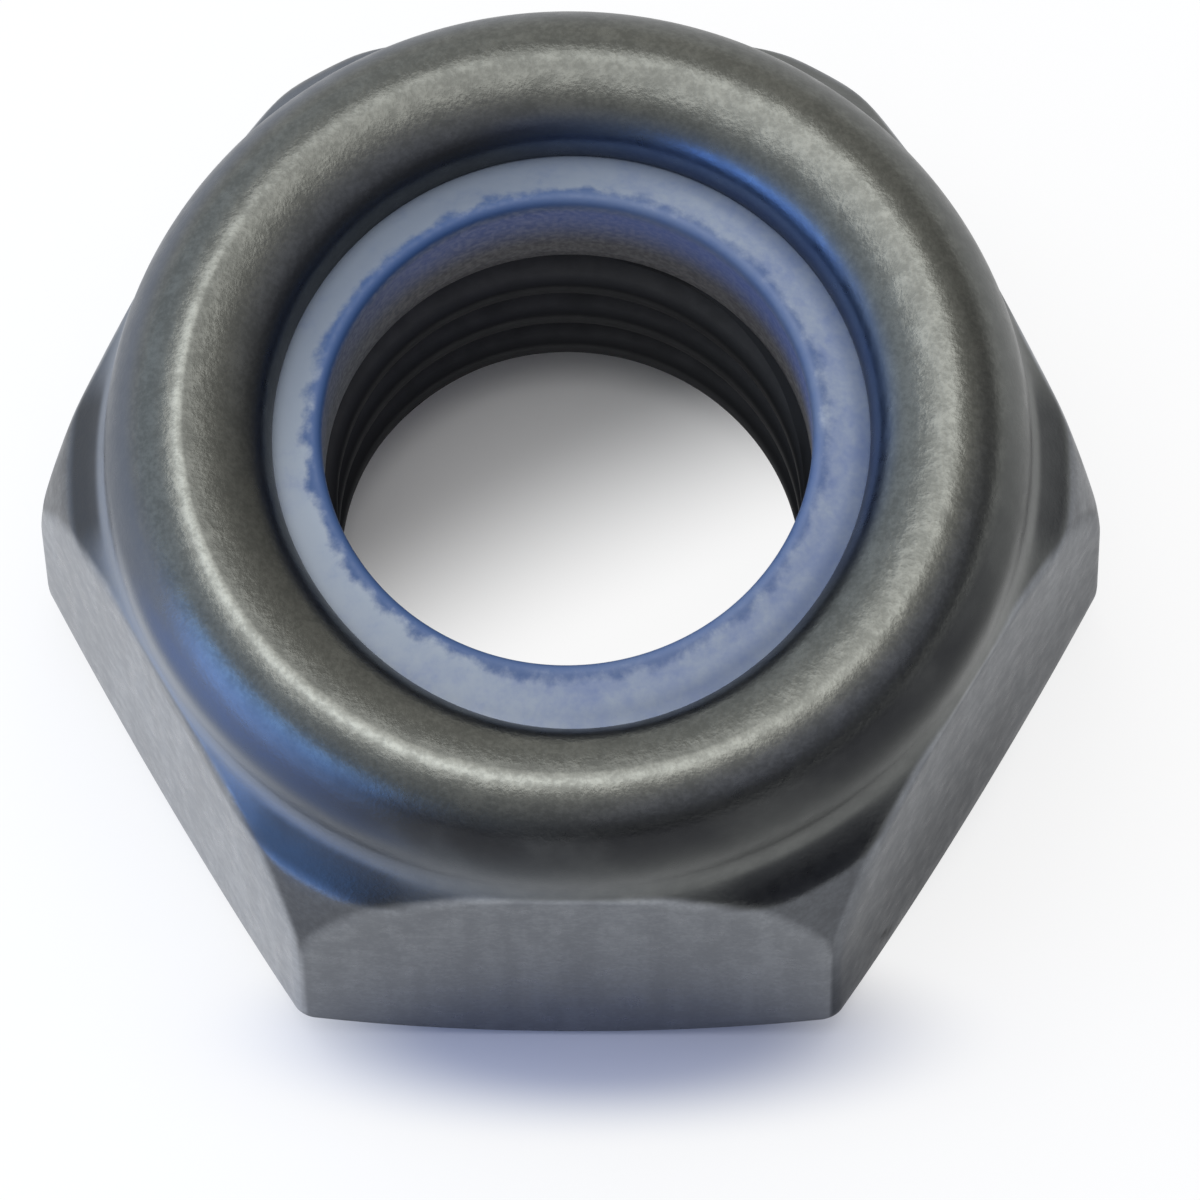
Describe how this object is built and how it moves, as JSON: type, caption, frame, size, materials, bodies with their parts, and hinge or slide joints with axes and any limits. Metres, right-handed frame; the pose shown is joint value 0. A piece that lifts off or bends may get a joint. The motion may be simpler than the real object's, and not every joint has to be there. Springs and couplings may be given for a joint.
{
  "type": "nylon insert lock nut",
  "caption": "Hexagon lock nut with a rounded crimped collar holding a nylon ring above its tapped bore; grips a bolt so that it can't shake loose.",
  "frame": {"origin": "centre of the bearing face, on the thread axis", "axes": "+Z along the thread axis towards the insert end; -Y out of a flat of the hexagon; +X to a corner"},
  "size_m": [0.0196, 0.017, 0.01],
  "materials": {
    "steel": "dull dark cold-formed steel with fine mottling, a bright crest line and patches of blue tint",
    "nylon": "pale grey-blue nylon, lightly scuffed, deeper blue at the rim of its bore"
  },
  "bodies": {
    "root": {"nut_body": "steel", "nylon_insert": "nylon"}
  },
  "joints": []
}
